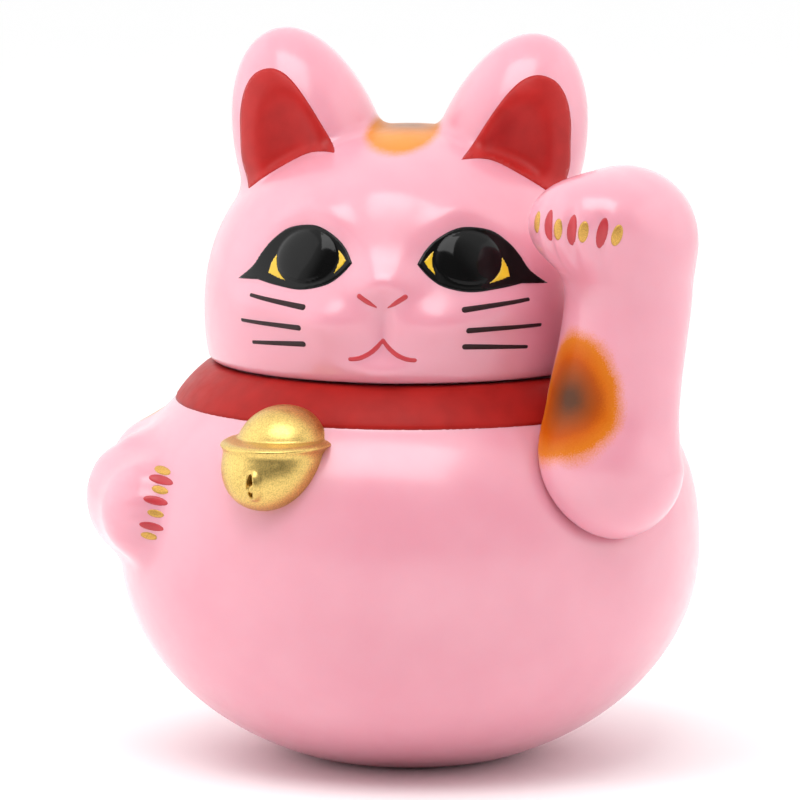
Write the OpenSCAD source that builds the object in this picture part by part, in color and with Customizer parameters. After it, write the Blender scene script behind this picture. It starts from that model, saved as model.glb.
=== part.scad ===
// Beckoning cat figurine: a round-bodied hollow vinyl cat whose head turns at the neck
// and whose raised left arm turns at the shoulder.
// The cat's body faces -Y, its left is +X, up is +Z, and it stands on z = 0.

/* [Body] */
// Greatest radius of the round body
body_r = 31.8; // [30:0.1:34]
// Height of the body's widest level above the standing plane
body_mid_z = 22.9; // [22:0.1:24]
// Height from the widest level down to where the underside would close if it had no foot
body_low_h = 24.4; // [24.1:0.1:25]
// Height from the widest level up to where the body would close if it had no neck
body_high_h = 23.3; // [23.1:0.1:23.8]
// Fullness of the upper body: 2 is an ellipse, larger is squarer
body_full = 2.5; // [2.3:0.05:2.7]
// Wall of the hollow vinyl mouldings
wall = 2; // [1.6:0.1:2.4]

/* [Collar] */
// Height of the collar's lower edge
collar_z = 39.3; // [38.8:0.1:39.6]
// Height of the flat top of the body, under the head
neck_z = 43.3; // [43:0.1:43.6]
// Radius of the body's top edge, where the head meets it
neck_r = 21.9; // [21.2:0.1:22]

/* [Head] */
// Greatest radius of the head
head_r = 22.5; // [22:0.1:22.6]
// Height of the head's widest level
head_mid_z = 48.9; // [48:0.1:50]
// Height of the top of the head between the ears
head_top_z = 69.2; // [68:0.1:70]
// Fullness of the upper head: 2 is an ellipse, larger is squarer
head_full = 2.25; // [2:0.05:2.5]
// Height of the ear tips, the top of the figurine
ear_top_z = 80; // [78:0.1:82]
// How far the head is turned towards the cat's left at rest
head_turn = 25.5; // [-90:0.5:90]

/* [Eyes] */
// How far each eye sits round the head from the middle of the face
eye_angle = 25; // [24:0.5:31]
// Height of the middle of the eyes
eye_z = 56.7; // [56:0.1:58]
// Length of an eye from corner to corner
eye_len = 11.4; // [9:0.1:12]
// Height of an eye
eye_h = 6.6; // [5:0.1:7]

/* [Raised arm] */
// Direction of the arm round the body, from the front towards the cat's left
arm_angle = 80; // [70:1:95]
// Distance from the body's middle to the middle of the forearm
arm_out = 30.6; // [30.4:0.1:32]
// Radius of the forearm
arm_r = 7.1; // [6.5:0.1:7.3]
// Height of the middle of the shoulder joint
shoulder_z = 33.9; // [33:0.1:35]
// Distance from the body's middle to the flat of the shoulder joint
shoulder_out = 28; // [27.8:0.1:28.4]
// How far the shoulder joint's axis tips up from level
shoulder_tilt = 25; // [22:1:28]
// Height of the top of the raised paw
paw_top_z = 67.6; // [66:0.1:70]

/* [Bell] */
// Radius of the bell's ball
bell_r = 5.7; // [5:0.1:6.5]
// Direction of the bell round the body, from the front towards the cat's left
bell_angle = 2.5; // [-10:0.5:10]
// Distance from the body's middle to the middle of the bell
bell_out = 27.8; // [26.5:0.1:28]
// Height of the middle of the bell
bell_z = 36; // [34:0.1:36.5]
// How far the bell leans back to follow the chest
bell_lean = 0; // [0:1:40]

/* [Joints] */
// Gap along the seam between two mouldings that turn against each other
seam = 0.3; // [0.2:0.05:0.4]
// Clearance round a turning stem
running = 0.05; // [0.02:0.01:0.1]
// Radius of the neck stem
neck_stem_r = 5; // [4:0.1:5.5]
// Radius of the shoulder stem
arm_stem_r = 3; // [2.5:0.1:3.4]
// Thickness of a bush's barrel
bush_t = 1.3; // [1:0.1:1.5]

/* [Hidden] */
$fn = 96;
HULL_FN = 32;
PROFILE_STEPS = 18;
TINY = 0.01;
FAR = 60;

PINK = "pink";
WHITE = "whitesmoke";
GOLD = "gold";
BLACK = "black";
STEEL = "silver";

// Head, muzzle and eyes; the eyes look a little upwards, square to the head
head_low_h = 23.5;
muzzle_out = 16.4;
muzzle_z = 50.9;
muzzle_r = 6.5;
eye_lift = 22;
eye_depth = 1.1;
eye_proud = 0.45;
eye_dome_r = 16;
eye_cut_h = 6;

// Foot and base cap
cap_t = 2.2;
cap_lip_t = 1;
cap_lip_r = 9.6;
cap_r = 8.8;
weight_r = 8.5;
weight_h = 10;
weight_rim = 2;
weight_dish = 1;

// Neck joint, listed downwards from the head
head_floor_z = neck_z + seam;
plug_t = 2;
neck_plug_r = 12;
plug_rim = 1.2;
plug_rim_t = 1.2;
bush_flange = 1.6;
bush_flange_t = 1;
bush_proud = seam / 2;
bush_len = 2.7;
neck_bush_r = neck_stem_r + running + bush_t;
neck_boss_cover = 1.4;
neck_boss_r = neck_bush_r + bush_flange + neck_boss_cover;
neck_boss_t = 3.4;
barb = 0.7;
barb_tip = 0.6;
barb_len = 2;
barb_gap = 0.3;
stem_bore = 0.5;
slot_w = 1.4;
slot_stop = 0.8;

// Shoulder joint, whose parts are drawn lying along +Z with the flat at z = 0
arm_bush_r = arm_stem_r + running + bush_t;
arm_plug_r = 4.4;
arm_plug_rim = 0.7;
arm_boss_cover = 1.2;
arm_boss_r = arm_bush_r + bush_flange + arm_boss_cover;
arm_boss_t = 3.4;
shoulder_cut_r = 14;
shoulder_cut_h = 12;

// Balls whose hull is an ear, for the cat's left: [across, back, height, radius]
EAR_BALLS = [
    [13.4, 0.5, ear_top_z - 3.2, 3.2],
    [15.4, 0.2, 69.5, 4.3],
    [14.6, 0.2, 61.5, 4.7],
    [11, 0.4, 62, 5.5],
    [6.8, 0.6, 64.2, 4.7]
];
ear_wall = wall - 0.3;

// Balls along the lowered arm from shoulder to paw, and along the tail:
// [direction from the front, distance out, height, radius]
LOWERED_ARM = [[-95, 22.5, 35.5, 4], [-66, 27.8, 31, 5], [-47, 28.5, 28.9, 7], [-35, 29.9, 28.6, 5.8]];
TAIL = [[180, 29, 15, 5], [173, 31.8, 20.5, 4.6]];
// Neighbouring hulls share a ball; each is drawn this much smaller, so that no faces coincide
ball_step = 0.04;

// Raised arm, up from the elbow; the elbow stands a little in from the forearm's axis
elbow = [-0.5, -0.1, 34.4];
elbow_r = 7.7;
wrist_z = 54;
fist_gap = 1;
fist_base_r = arm_r - 0.2;
paw_r = 7;
paw_reach = 4.6;
toe_drop = 0.8;
toe_r = paw_r - 0.6;

// Bell: its ridge above the middle and the sound slot on its lower front
ridge_z = 1.8;
ridge_r = 0.55;
ridge_sink = 0.1;
sound_z = -2;
sound_lean = 20;
sound_w = 0.8;
sound_h = 1.9;
sound_depth = 3;

// Superellipse half width at a given height, for a full width at zero height
function rounded(half_width, height, fullness, z) =
    half_width * pow(1 - pow(abs(z) / height, fullness), 1 / fullness);

// Points of the body's outline from the foot up to the collar, drawn inset by d
function body_low(d, from_z) = [
    for (i = [0:PROFILE_STEPS])
        let (z = from_z + (body_mid_z - from_z) * sin(90 * i / PROFILE_STEPS))
            [rounded(body_r - d, body_low_h - d, 2, body_mid_z - z), z]
];
function body_high(d, to_z) = [
    for (i = [1:PROFILE_STEPS])
        let (z = body_mid_z + (to_z - body_mid_z) * sin(90 * i / PROFILE_STEPS))
            [rounded(body_r - d, body_high_h - d, body_full, z - body_mid_z), z]
];

// The collar's outline bulges a little between its lower edge and the neck edge
function collar_curve() =
    let (
        a = [rounded(body_r, body_high_h, body_full, collar_z - body_mid_z), collar_z],
        b = [neck_r + 1.9, neck_z - 1.1],
        c = [neck_r, neck_z]
    )
    [for (i = [1:6]) let (t = i / 6) (1 - t) * (1 - t) * a + 2 * t * (1 - t) * b + t * t * c];

// Points of the head's outline from its floor to its crown, drawn inset by d
function head_curve(d, from_z) = concat(
    [
        for (i = [0:6])
            let (z = from_z + (head_mid_z - from_z) * i / 6)
                [rounded(head_r - d, head_low_h - d, 2, head_mid_z - z), z]
    ],
    [
        for (i = [1:PROFILE_STEPS])
            let (z = head_mid_z + (head_top_z - d - head_mid_z) * sin(90 * i / PROFILE_STEPS))
                [rounded(head_r - d, head_top_z - d - head_mid_z, head_full, z - head_mid_z), z]
    ]
);

module round_solid(points, low_z, high_z) {
    rotate_extrude() polygon(concat([[0, low_z]], points, [[0, high_z]]));
}

// Places a child, drawn along +Z with its outer side up, on the shoulder's axis
module at_shoulder() {
    rotate([0, 0, arm_angle - 90])
        translate([shoulder_out, 0, shoulder_z])
            rotate([0, 90 - shoulder_tilt, 0])
                children();
}

// Places a child at the middle of the bell, with the bell's own axis along +Z
module at_bell() {
    rotate([0, 0, bell_angle])
        translate([0, -bell_out, bell_z])
            rotate([-bell_lean, 0, 0])
                children();
}

// Places a child on an eye, drawn in XY with +Z out of the face; side is 1 for the cat's left
module at_eye(side) {
    seat_r = rounded(head_r, head_top_z - head_mid_z, head_full, eye_z - head_mid_z);
    rotate([0, 0, head_turn + side * eye_angle])
        translate([0, -seat_r, eye_z])
            rotate([90 - eye_lift, 0, 0])
                children();
}

module body_cavity() {
    difference() {
        round_solid(
            concat(body_low(wall, cap_t), body_high(wall, neck_z - wall)),
            cap_t, neck_z - wall
        );
        translate([0, 0, neck_z - neck_boss_t]) cylinder(r = neck_boss_r, h = neck_boss_t);
        at_shoulder() translate([0, 0, -arm_boss_t]) cylinder(r = arm_boss_r, h = FAR);
    }
}

// A limb through a row of balls, each given as in LOWERED_ARM
module limb(balls) {
    for (i = [1:len(balls) - 1])
        hull()
            for (b = [balls[i - 1], balls[i]])
                rotate([0, 0, b[0]])
                    translate([0, -b[1], b[2]])
                        sphere(r = b[3] - ball_step * i, $fn = HULL_FN);
}

module body_shell() {
    color(PINK) difference() {
        union() {
            round_solid(
                concat(body_low(0, 0), body_high(0, collar_z), collar_curve()),
                0, neck_z
            );
            limb(LOWERED_ARM);
            limb(TAIL);
        }
        body_cavity();
        // Foot opening
        translate([0, 0, -TINY]) cylinder(r = cap_lip_r, h = cap_lip_t + TINY);
        cylinder(r = cap_r, h = cap_t + TINY);
        // Neck bush seat
        translate([0, 0, neck_z - neck_boss_t - TINY])
            cylinder(r = neck_bush_r, h = neck_boss_t + 1);
        translate([0, 0, neck_z + bush_proud - bush_flange_t])
            cylinder(r = neck_bush_r + bush_flange, h = bush_flange_t + 1);
        // Shoulder flat and bush seat
        at_shoulder() {
            cylinder(r = shoulder_cut_r, h = shoulder_cut_h);
            translate([0, 0, -arm_boss_t - TINY]) cylinder(r = arm_bush_r, h = arm_boss_t + 1);
            translate([0, 0, bush_proud - bush_flange_t])
                cylinder(r = arm_bush_r + bush_flange, h = bush_flange_t + 1);
        }
        // Bell seat
        bell_solid();
    }
}

module base_cap() {
    color(WHITE) {
        cylinder(r = cap_lip_r, h = cap_lip_t);
        cylinder(r = cap_r, h = cap_t);
    }
}

module ballast_weight() {
    color(STEEL) translate([0, 0, cap_t]) difference() {
        cylinder(r = weight_r, h = weight_h);
        translate([0, 0, weight_h - weight_dish])
            cylinder(r = weight_r - weight_rim, h = weight_dish + TINY);
    }
}

// A flanged bush with its flange's top at z = proud and its barrel below
module bush(stem_r, bush_r, proud) {
    difference() {
        union() {
            translate([0, 0, proud - bush_flange_t])
                cylinder(r = bush_r + bush_flange, h = bush_flange_t);
            translate([0, 0, proud - bush_flange_t - bush_len])
                cylinder(r = bush_r, h = bush_len + TINY);
        }
        translate([0, 0, -FAR / 2]) cylinder(r = stem_r + running, h = FAR);
    }
}

// A plug that closes a moulding's opening, with a split snap stem below it;
// the plug's outer face is at z = face_z and the bush's lower end at z = bush_end
module snap_plug(plug_r, rim, stem_r, face_z, bush_end) {
    barb_z = bush_end - barb_gap;
    difference() {
        union() {
            translate([0, 0, face_z]) cylinder(r = plug_r, h = plug_t);
            translate([0, 0, face_z + plug_t]) cylinder(r = plug_r + rim, h = plug_rim_t);
            translate([0, 0, barb_z - barb_len])
                cylinder(r = stem_r, h = face_z - barb_z + barb_len);
            translate([0, 0, barb_z - barb_len])
                cylinder(r1 = stem_r - barb_tip, r2 = stem_r + barb, h = barb_len);
        }
        translate([0, 0, barb_z - barb_len - TINY])
            cylinder(r = stem_r * stem_bore, h = face_z - barb_z + barb_len);
        translate([-slot_w / 2, -stem_r - barb - 1, barb_z - barb_len - TINY])
            cube([slot_w, 2 * (stem_r + barb + 1), face_z - slot_stop - barb_z + barb_len]);
    }
}

module neck_bush() {
    color(WHITE) translate([0, 0, neck_z]) bush(neck_stem_r, neck_bush_r, bush_proud);
}

module shoulder_bush() {
    color(WHITE) at_shoulder() bush(arm_stem_r, arm_bush_r, bush_proud);
}

// The whole jingle bell: a ball with a ridge round it above its middle
module bell_solid() {
    ridge_at = sqrt(bell_r * bell_r - ridge_z * ridge_z) - ridge_sink;
    at_bell() {
        sphere(r = bell_r);
        translate([0, 0, ridge_z])
            rotate_extrude() translate([ridge_at, 0]) circle(r = ridge_r, $fn = 24);
    }
}

module bell() {
    color(GOLD) difference() {
        bell_solid();
        // Upright sound slot with round ends
        at_bell() translate([0, -bell_r, sound_z]) rotate([sound_lean, 0, 0]) {
            cube([sound_w, sound_depth, sound_h], center = true);
            for (end = [-1, 1])
                translate([0, 0, end * sound_h / 2])
                    rotate([90, 0, 0]) cylinder(r = sound_w / 2, h = sound_depth, center = true);
        }
    }
}

// One ear; side is 1 for the cat's left, d insets its surface
module ear(side, d) {
    hull()
        for (b = EAR_BALLS)
            translate([side * b[0], b[1], b[2]]) sphere(r = b[3] - d, $fn = HULL_FN);
}

module head_shell() {
    color(PINK) difference() {
        rotate([0, 0, head_turn]) difference() {
            union() {
                round_solid(head_curve(0, head_floor_z), head_floor_z, head_top_z);
                for (side = [-1, 1]) ear(side, 0);
                translate([0, -muzzle_out, muzzle_z]) sphere(r = muzzle_r);
            }
            round_solid(
                head_curve(wall, head_floor_z + plug_t), head_floor_z + plug_t, head_top_z - wall
            );
            for (side = [-1, 1]) ear(side, ear_wall);
        }
        translate([0, 0, head_floor_z - TINY]) cylinder(r = neck_plug_r, h = plug_t + 1);
        for (side = [-1, 1]) at_eye(side) eye_prism();
    }
}

module neck_plug() {
    color(WHITE)
        snap_plug(
            neck_plug_r, plug_rim, neck_stem_r, head_floor_z,
            neck_z + bush_proud - bush_flange_t - bush_len
        );
}

// Almond outline of an eye: two equal arcs that cross at its corners
module eye_outline() {
    arc_r = (eye_len * eye_len + eye_h * eye_h) / (4 * eye_h);
    intersection() {
        translate([0, arc_r - eye_h / 2]) circle(r = arc_r);
        translate([0, eye_h / 2 - arc_r]) circle(r = arc_r);
    }
}

// The outline run through the face; its floor is the bottom of the eye's pocket
module eye_prism() {
    translate([0, 0, -eye_depth]) linear_extrude(height = eye_cut_h) eye_outline();
}

module eye(side) {
    color(BLACK) intersection() {
        at_eye(side) eye_prism();
        at_eye(side) translate([0, 0, eye_proud - eye_dome_r]) sphere(r = eye_dome_r);
    }
}

module left_eye() { eye(1); }

module right_eye() { eye(-1); }

// The raised arm's outside, drawn inset by d, before the shoulder flat is cut
module arm_form(d) {
    rotate([0, 0, arm_angle]) translate([0, -arm_out, 0]) {
        hull() {
            rotate([0, 0, -arm_angle]) translate(elbow) sphere(r = elbow_r - d, $fn = HULL_FN);
            translate([0, 0, wrist_z]) sphere(r = arm_r - d, $fn = HULL_FN);
        }
        hull() {
            translate([0, 0, wrist_z + fist_gap]) sphere(r = fist_base_r - d, $fn = HULL_FN);
            translate([0, 0, paw_top_z - paw_r]) sphere(r = paw_r - d, $fn = HULL_FN);
            rotate([0, 0, -arm_angle])
                translate([0, -paw_reach, paw_top_z - paw_r - toe_drop])
                    sphere(r = toe_r - d, $fn = HULL_FN);
        }
    }
}

module raised_arm() {
    color(PINK) difference() {
        arm_form(0);
        difference() {
            arm_form(wall);
            at_shoulder() translate([0, 0, -FAR]) cylinder(r = FAR, h = FAR + seam + plug_t);
        }
        // Everything inside the shoulder flat
        at_shoulder() {
            translate([0, 0, seam - FAR]) cylinder(r = FAR, h = FAR);
            translate([0, 0, seam - TINY]) cylinder(r = arm_plug_r, h = plug_t + 2 * TINY);
        }
    }
}

module arm_plug() {
    color(WHITE) at_shoulder()
        snap_plug(
            arm_plug_r, arm_plug_rim, arm_stem_r, seam,
            bush_proud - bush_flange_t - bush_len
        );
}

body_shell();
base_cap();
ballast_weight();
bell();
neck_bush();
shoulder_bush();
head_shell();
neck_plug();
left_eye();
right_eye();
raised_arm();
arm_plug();
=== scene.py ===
"""Beckoning cat figurine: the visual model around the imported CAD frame.

Lengths are in millimetres up to the point where a mesh is made, and follow part.scad's frame:
the body faces -Y, the cat's left is +X, and the figurine stands on z = 0.
"""

from math import cos, radians, sin

import bpy
import numpy as np
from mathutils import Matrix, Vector
from mathutils.geometry import delaunay_2d_cdt


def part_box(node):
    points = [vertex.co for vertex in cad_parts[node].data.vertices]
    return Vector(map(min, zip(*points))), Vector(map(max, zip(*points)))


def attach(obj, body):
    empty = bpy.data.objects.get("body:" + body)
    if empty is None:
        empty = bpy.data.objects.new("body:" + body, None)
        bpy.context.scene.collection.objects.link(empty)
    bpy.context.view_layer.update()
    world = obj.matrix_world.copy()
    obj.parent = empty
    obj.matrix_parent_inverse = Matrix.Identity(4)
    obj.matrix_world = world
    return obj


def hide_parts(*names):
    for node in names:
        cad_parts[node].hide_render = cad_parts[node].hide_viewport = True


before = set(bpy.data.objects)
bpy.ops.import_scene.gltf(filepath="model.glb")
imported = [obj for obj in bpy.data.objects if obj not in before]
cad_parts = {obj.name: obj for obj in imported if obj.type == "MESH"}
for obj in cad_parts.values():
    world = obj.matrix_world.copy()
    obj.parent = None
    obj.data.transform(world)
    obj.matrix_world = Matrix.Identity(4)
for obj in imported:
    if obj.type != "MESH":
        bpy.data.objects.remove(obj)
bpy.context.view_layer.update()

MM = 0.001

# ---------------------------------------------------------------- sizes, following part.scad

BODY_R, BODY_MID_Z, BODY_LOW_H, BODY_HIGH_H, BODY_FULL = 31.8, 22.9, 24.4, 23.3, 2.5
COLLAR_Z, NECK_Z, NECK_R = 39.3, 43.3, 21.9
SEAM, WALL = 0.3, 2.0
HEAD_R, HEAD_MID_Z, HEAD_TOP_Z, HEAD_LOW_H, HEAD_FULL = 22.5, 48.9, 69.2, 23.5, 2.25
HEAD_TURN = 25.5
ARM_ANGLE, ARM_OUT = 80.0, 30.6
SHOULDER_OUT, SHOULDER_Z, SHOULDER_TILT = 28.0, 33.9, 25.0
BELL_ANGLE, BELL_OUT, BELL_Z, BELL_NOD = 2.5, 27.8, 36.0, 3.0
NECK_HOLE_R, SHOULDER_HOLE_R, HOLE_DEEP = 6.35, 4.35, 5
NECK_BOSS_R, SHOULDER_BOSS_R, BOSS_DEEP = 9, 7, 3.4
NECK_PLUG_R, NECK_PLUG_DEEP, ARM_PLUG_R, ARM_PLUG_DEEP = 12.0, 5, 4.4, 4
CAP_R, CAP_DEEP, BASE_WALL = 9.6, 3, 2.2
COLLAR_R, COLLAR_MID_Z, COLLAR_HIGH = 26.9, 35.0, 14.3
EDGE, HEAD_RIM = 0.5, 1.0

# ---------------------------------------------------------------- vector helpers


def around(angle, radius, z):
    """The point at this angle from the front towards the cat's left."""
    a = radians(angle)
    return np.array([radius * sin(a), -radius * cos(a), z])


def angle_of(p):
    """Each point's angle in degrees from the front towards the cat's left."""
    return np.degrees(np.arctan2(p[:, 0], -p[:, 1]))


def turned(p, degrees):
    """Points turned about the vertical axis."""
    a = radians(degrees)
    x, y = p[:, 0], p[:, 1]
    return np.stack([x * cos(a) - y * sin(a), x * sin(a) + y * cos(a), p[:, 2]], 1)


def smooth_max(a, b, k):
    """The larger of two fields, with the crease between them rounded over k."""
    h = np.maximum(k - np.abs(a - b), 0) / k
    return np.maximum(a, b) + h * h * k / 4


def smooth_min(a, b, k):
    return -smooth_max(-a, -b, k)


def ball(p, centre, radius):
    return np.linalg.norm(p - centre, axis=1) - radius


def limb(p, start, end, start_r, end_r):
    """Two balls and the cone that touches them both."""
    along = end - start
    length = np.linalg.norm(along)
    slope = (start_r - end_r) / length
    lean = np.sqrt(1 - slope**2)
    y = (p - start) @ along / length
    x = np.linalg.norm(p - start - y[:, None] * along / length, axis=1)
    side = x * lean + y * slope - start_r
    before = y * lean < x * slope
    beyond = (y - length) * lean > x * slope
    distance = np.where(before, np.hypot(x, y) - start_r, side)
    return np.where(beyond, np.hypot(x, y - length) - end_r, distance)


def egg(p, centre, radii):
    """An ellipsoid, as a near distance."""
    q = (p - centre) / np.array(radii)
    size = np.linalg.norm(q, axis=1)
    slope = np.linalg.norm(q / np.array(radii), axis=1)
    return size * (size - 1) / np.maximum(slope, 1e-6)


def round_form(p, mid_z, width, low_h, high_h, full):
    """A body of revolution that is an ellipse below its widest level and squarer above it."""
    r = np.hypot(p[:, 0], p[:, 1])
    dz = p[:, 2] - mid_z
    high = dz > 0
    height = np.where(high, high_h, low_h)
    n = np.where(high, full, 2.0)
    size = ((r / width) ** n + (np.abs(dz) / height) ** n) ** (1 / n)
    return np.hypot(r, dz) * (1 - 1 / np.maximum(size, 0.05))


def hump(u, v, at_u, at_v, wide, tall):
    """A soft bump of height 1 in two surface coordinates."""
    return np.exp(-(((u - at_u) / wide) ** 2) - ((v - at_v) / tall) ** 2)


def shoulder_depth(p):
    """How far outside the shoulder's flat a point is."""
    tilt = radians(SHOULDER_TILT)
    out = around(ARM_ANGLE, cos(tilt), sin(tilt))
    return (p - around(ARM_ANGLE, SHOULDER_OUT, SHOULDER_Z)) @ out


def shoulder_radius(p):
    """Distance from the shoulder's axis."""
    q = p - around(ARM_ANGLE, SHOULDER_OUT, SHOULDER_Z)
    return np.sqrt(np.maximum((q * q).sum(1) - shoulder_depth(p) ** 2, 0))


# ---------------------------------------------------------------- the vinyl forms

# The head's own frame faces -Y before it is turned on the neck
EAR_TOP_Z, EAR_HIGH, EAR_WIDE, EAR_DEEP = 79.7, 15.0, 8.8, 8.0
EAR_OUT, EAR_SLANT, LEFT_EAR_DROP = 11.3, 0.23, 0.45
EAR_SLANT_Z, EAR_BACK, EAR_INNER_SQUEEZE, EAR_BLEND = 70, -0.2, 1.06, 1.4
LINING_OUT, LINING_FRONT, LINING_RADII, LINING_EDGE = 2.3, -8.7, (4.7, 2.6, 12.0), 0.7
BROW_AT, BROW_ARCH = 25, 0.012

# The right arm and its paw from shoulder to toes, and the tail: angle, distance out, level, radius
LOWERED_ARM = [(-95, 22.5, 35.5, 4.0), (-66, 27.8, 31.0, 5.0), (-48, 28.5, 29.1, 6.2)]
LOWERED_PAW = [(-47, 28.5, 28.9, 6.8), (-35, 29.8, 28.6, 5.8)]
TAIL = [(180, 29.0, 15.0, 5.0), (173, 32.0, 20.5, 4.5)]
ARM_BLEND, PAW_BLEND, SHOULDER_BLEND, TAIL_BLEND = 2.0, 2.5, 1.8, 4.5
# Creases between the lowered paw's toes, and the one across its wrist: angle and level
LOWERED_CREASES, LOWERED_WRIST = [(-27, 31.5), (-27, 29.0), (-27, 26.6)], (-44, 34.6)
LOWERED_CREASE_DEEP, WRIST_DEEP = 0.16, 0.35

# Sections of the raised forearm from the elbow to the wrist: level, how far the middle stands
# off a plumb line in the direction SWAY_AT, and radius
SWAY_AT = 123
FOREARM = [
    (34.6, -1.0, 7.6), (39.0, -1.15, 7.3), (43.0, -0.8, 7.0),
    (47.5, 0.0, 6.8), (52.0, 0.55, 6.75), (57.0, 0.55, 6.85),
]
ELBOW, ELBOW_R = np.array([-1.5, -3.2, 35.0]), 6.9
FIST_AT, FIST_RADII = around(ARM_ANGLE, 0.3, 0) + np.array([0.1, -0.6, 59.9]), (7.45, 7.9, 6.9)
TOES_AT, TOES_RADII, TOES_BLEND = np.array([-0.8, -5.0, 60.8]), (7.1, 5.4, 5.2), 1.6
# Creases between the raised paw's toes: the point that their angles are taken from, the angles
TOES_MIDDLE = np.array([-0.8, -1.5, 0])
RAISED_CREASES, RAISED_CREASE_DEEP, RAISED_CREASE_Z = (-15, 4, 26), 0.4, 59.8

# The bell in its own frame
BOWL_BACK, BOWL_HANG, BOWL_Z, BOWL_RADII = -0.6, 0.40, 0.3, (5.5, 5.5, 5.3)
DOME_AT, DOME_R = np.array([0, 1.7, 0.05]), 5.4
FLANGE_Z, FLANGE_BACK, FLANGE_RADII = 1.7, 0.3, (6.05, 6.05, 0.7)
SLOT_AT = np.array([0.75, -6.1, -1.75])
LIPS_RADII, SLOT_RADII, PEA_R = (1.0, 1.0, 1.6), (0.45, 1.3, 1.35), 0.5


def head_local(p):
    return turned(p, -HEAD_TURN)


def ear(p, side):
    """One ear, in the head's own frame: half of a slanted ellipsoid with a hollowed front."""
    level = p[:, 2] - (EAR_TOP_Z - EAR_HIGH) + (LEFT_EAR_DROP if side > 0 else 0)
    out = p[:, 0] * side - EAR_OUT - (p[:, 2] - EAR_SLANT_Z) * EAR_SLANT
    out = np.where(out < 0, out * EAR_INNER_SQUEEZE, out)
    q = np.stack([out, p[:, 1], np.maximum(level, 0)], 1)
    body = egg(q, np.array([0, EAR_BACK, 0]), (EAR_WIDE, EAR_DEEP, EAR_HIGH))
    q[:, 2] = level
    hollow = egg(q, np.array([LINING_OUT, LINING_FRONT, 0.0]), LINING_RADII)
    return smooth_max(body, -hollow, LINING_EDGE)


def face_relief(angle, z):
    """Height of the face above the plain round head. Each hump has its height, its degrees from
    the nose and level, and its reach in degrees and in mm."""
    side = np.abs(angle)
    nose = 1.35 * hump(angle, z, 0, 54.4, 8.0, 2.0) + 0.15 * hump(angle, z, 0, 57.0, 9.0, 4.0)
    arch = z + BROW_ARCH * (side - BROW_AT) ** 2
    brows = 0.6 * hump(side, arch, BROW_AT, 61.9, 12, 1.7)
    forehead = 0.8 * hump(angle, z, 0, 64.2, 18, 3.5)
    muzzle = 1.4 * hump(side, z, 15, 50.2, 11.5, 2.4) - 0.7 * hump(angle, z, 0, 50.0, 2.8, 2.4)
    cheeks = 0.65 * hump(side, z, 36, 51.4, 15, 2.1) + 0.5 * hump(side, z, 15, 46.6, 10, 2.4)
    chin = 0.85 * hump(angle, z, 0, 45.0, 9, 1.3)
    sockets = 0.8 * hump(side, z, 26, 57.2, 13, 3.2) + 0.4 * hump(side, z, 12, 56.6, 5.5, 3.0)
    return nose + brows + forehead + muzzle + cheeks + chin - sockets


def front_only(y, sharpness):
    """1 on the front of a form, falling smoothly to 0 on its back."""
    return 1 / (1 + np.exp(np.clip(y * sharpness + 3, -40, 40)))


def head_form(p):
    """The head's outside, in the head's own frame."""
    skull = round_form(p, HEAD_MID_Z, HEAD_R, HEAD_LOW_H, HEAD_TOP_Z - HEAD_MID_Z, HEAD_FULL)
    skull = skull - front_only(p[:, 1], 1.2) * face_relief(angle_of(p), p[:, 2])
    for side in (-1, 1):
        skull = smooth_min(skull, ear(p, side), EAR_BLEND)
    return smooth_max(skull, NECK_Z + SEAM - p[:, 2], HEAD_RIM)


def head_field(p):
    """The head shell: hollow, with a round hole for its neck plug."""
    outside = head_form(head_local(p))
    inside = np.maximum(outside + WALL, NECK_Z + SEAM + WALL - p[:, 2])
    neck = np.maximum(np.hypot(p[:, 0], p[:, 1]) - NECK_PLUG_R, p[:, 2] - NECK_Z - NECK_PLUG_DEEP)
    return np.maximum(np.maximum(outside, -inside), -neck)


def joined(p, start, end):
    """A limb between two rows of angle, distance out, level and radius."""
    return limb(p, around(*start[:3]), around(*end[:3]), start[3], end[3])


def lowered_arm(p):
    """The right arm, from the shoulder round to the paw on the chest's side."""
    shoulder, elbow, wrist = LOWERED_ARM
    arm = smooth_min(joined(p, shoulder, elbow), joined(p, elbow, wrist), ARM_BLEND)
    return smooth_min(arm, joined(p, *LOWERED_PAW), PAW_BLEND) - lowered_toes(p)


def lowered_toes(p):
    """Shallow creases between the lowered paw's toes and across its wrist."""
    angle, z = angle_of(p), p[:, 2]
    depth = sum(hump(angle, z, *crease, 6, 0.8) for crease in LOWERED_CREASES)
    return -LOWERED_CREASE_DEEP * depth - WRIST_DEEP * hump(angle, z, *LOWERED_WRIST, 10, 0.8)


def collar_form(p):
    """The raised collar: a flattened ball of revolution, used above the body's shoulder line."""
    return egg(p, np.array([0, 0, COLLAR_MID_Z]), (COLLAR_R, COLLAR_R, COLLAR_HIGH))


def body_form(p):
    """The body's outside, with the right arm, the tail and the collar."""
    body = round_form(p, BODY_MID_Z, BODY_R, BODY_LOW_H, BODY_HIGH_H, BODY_FULL)
    body = np.minimum(body, collar_form(p))
    body = smooth_min(body, lowered_arm(p), SHOULDER_BLEND)
    body = smooth_min(body, joined(p, *TAIL), TAIL_BLEND)
    body = smooth_max(body, p[:, 2] - NECK_Z, EDGE)
    body = smooth_max(body, -p[:, 2], EDGE)
    return smooth_max(body, shoulder_depth(p), EDGE)


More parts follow.
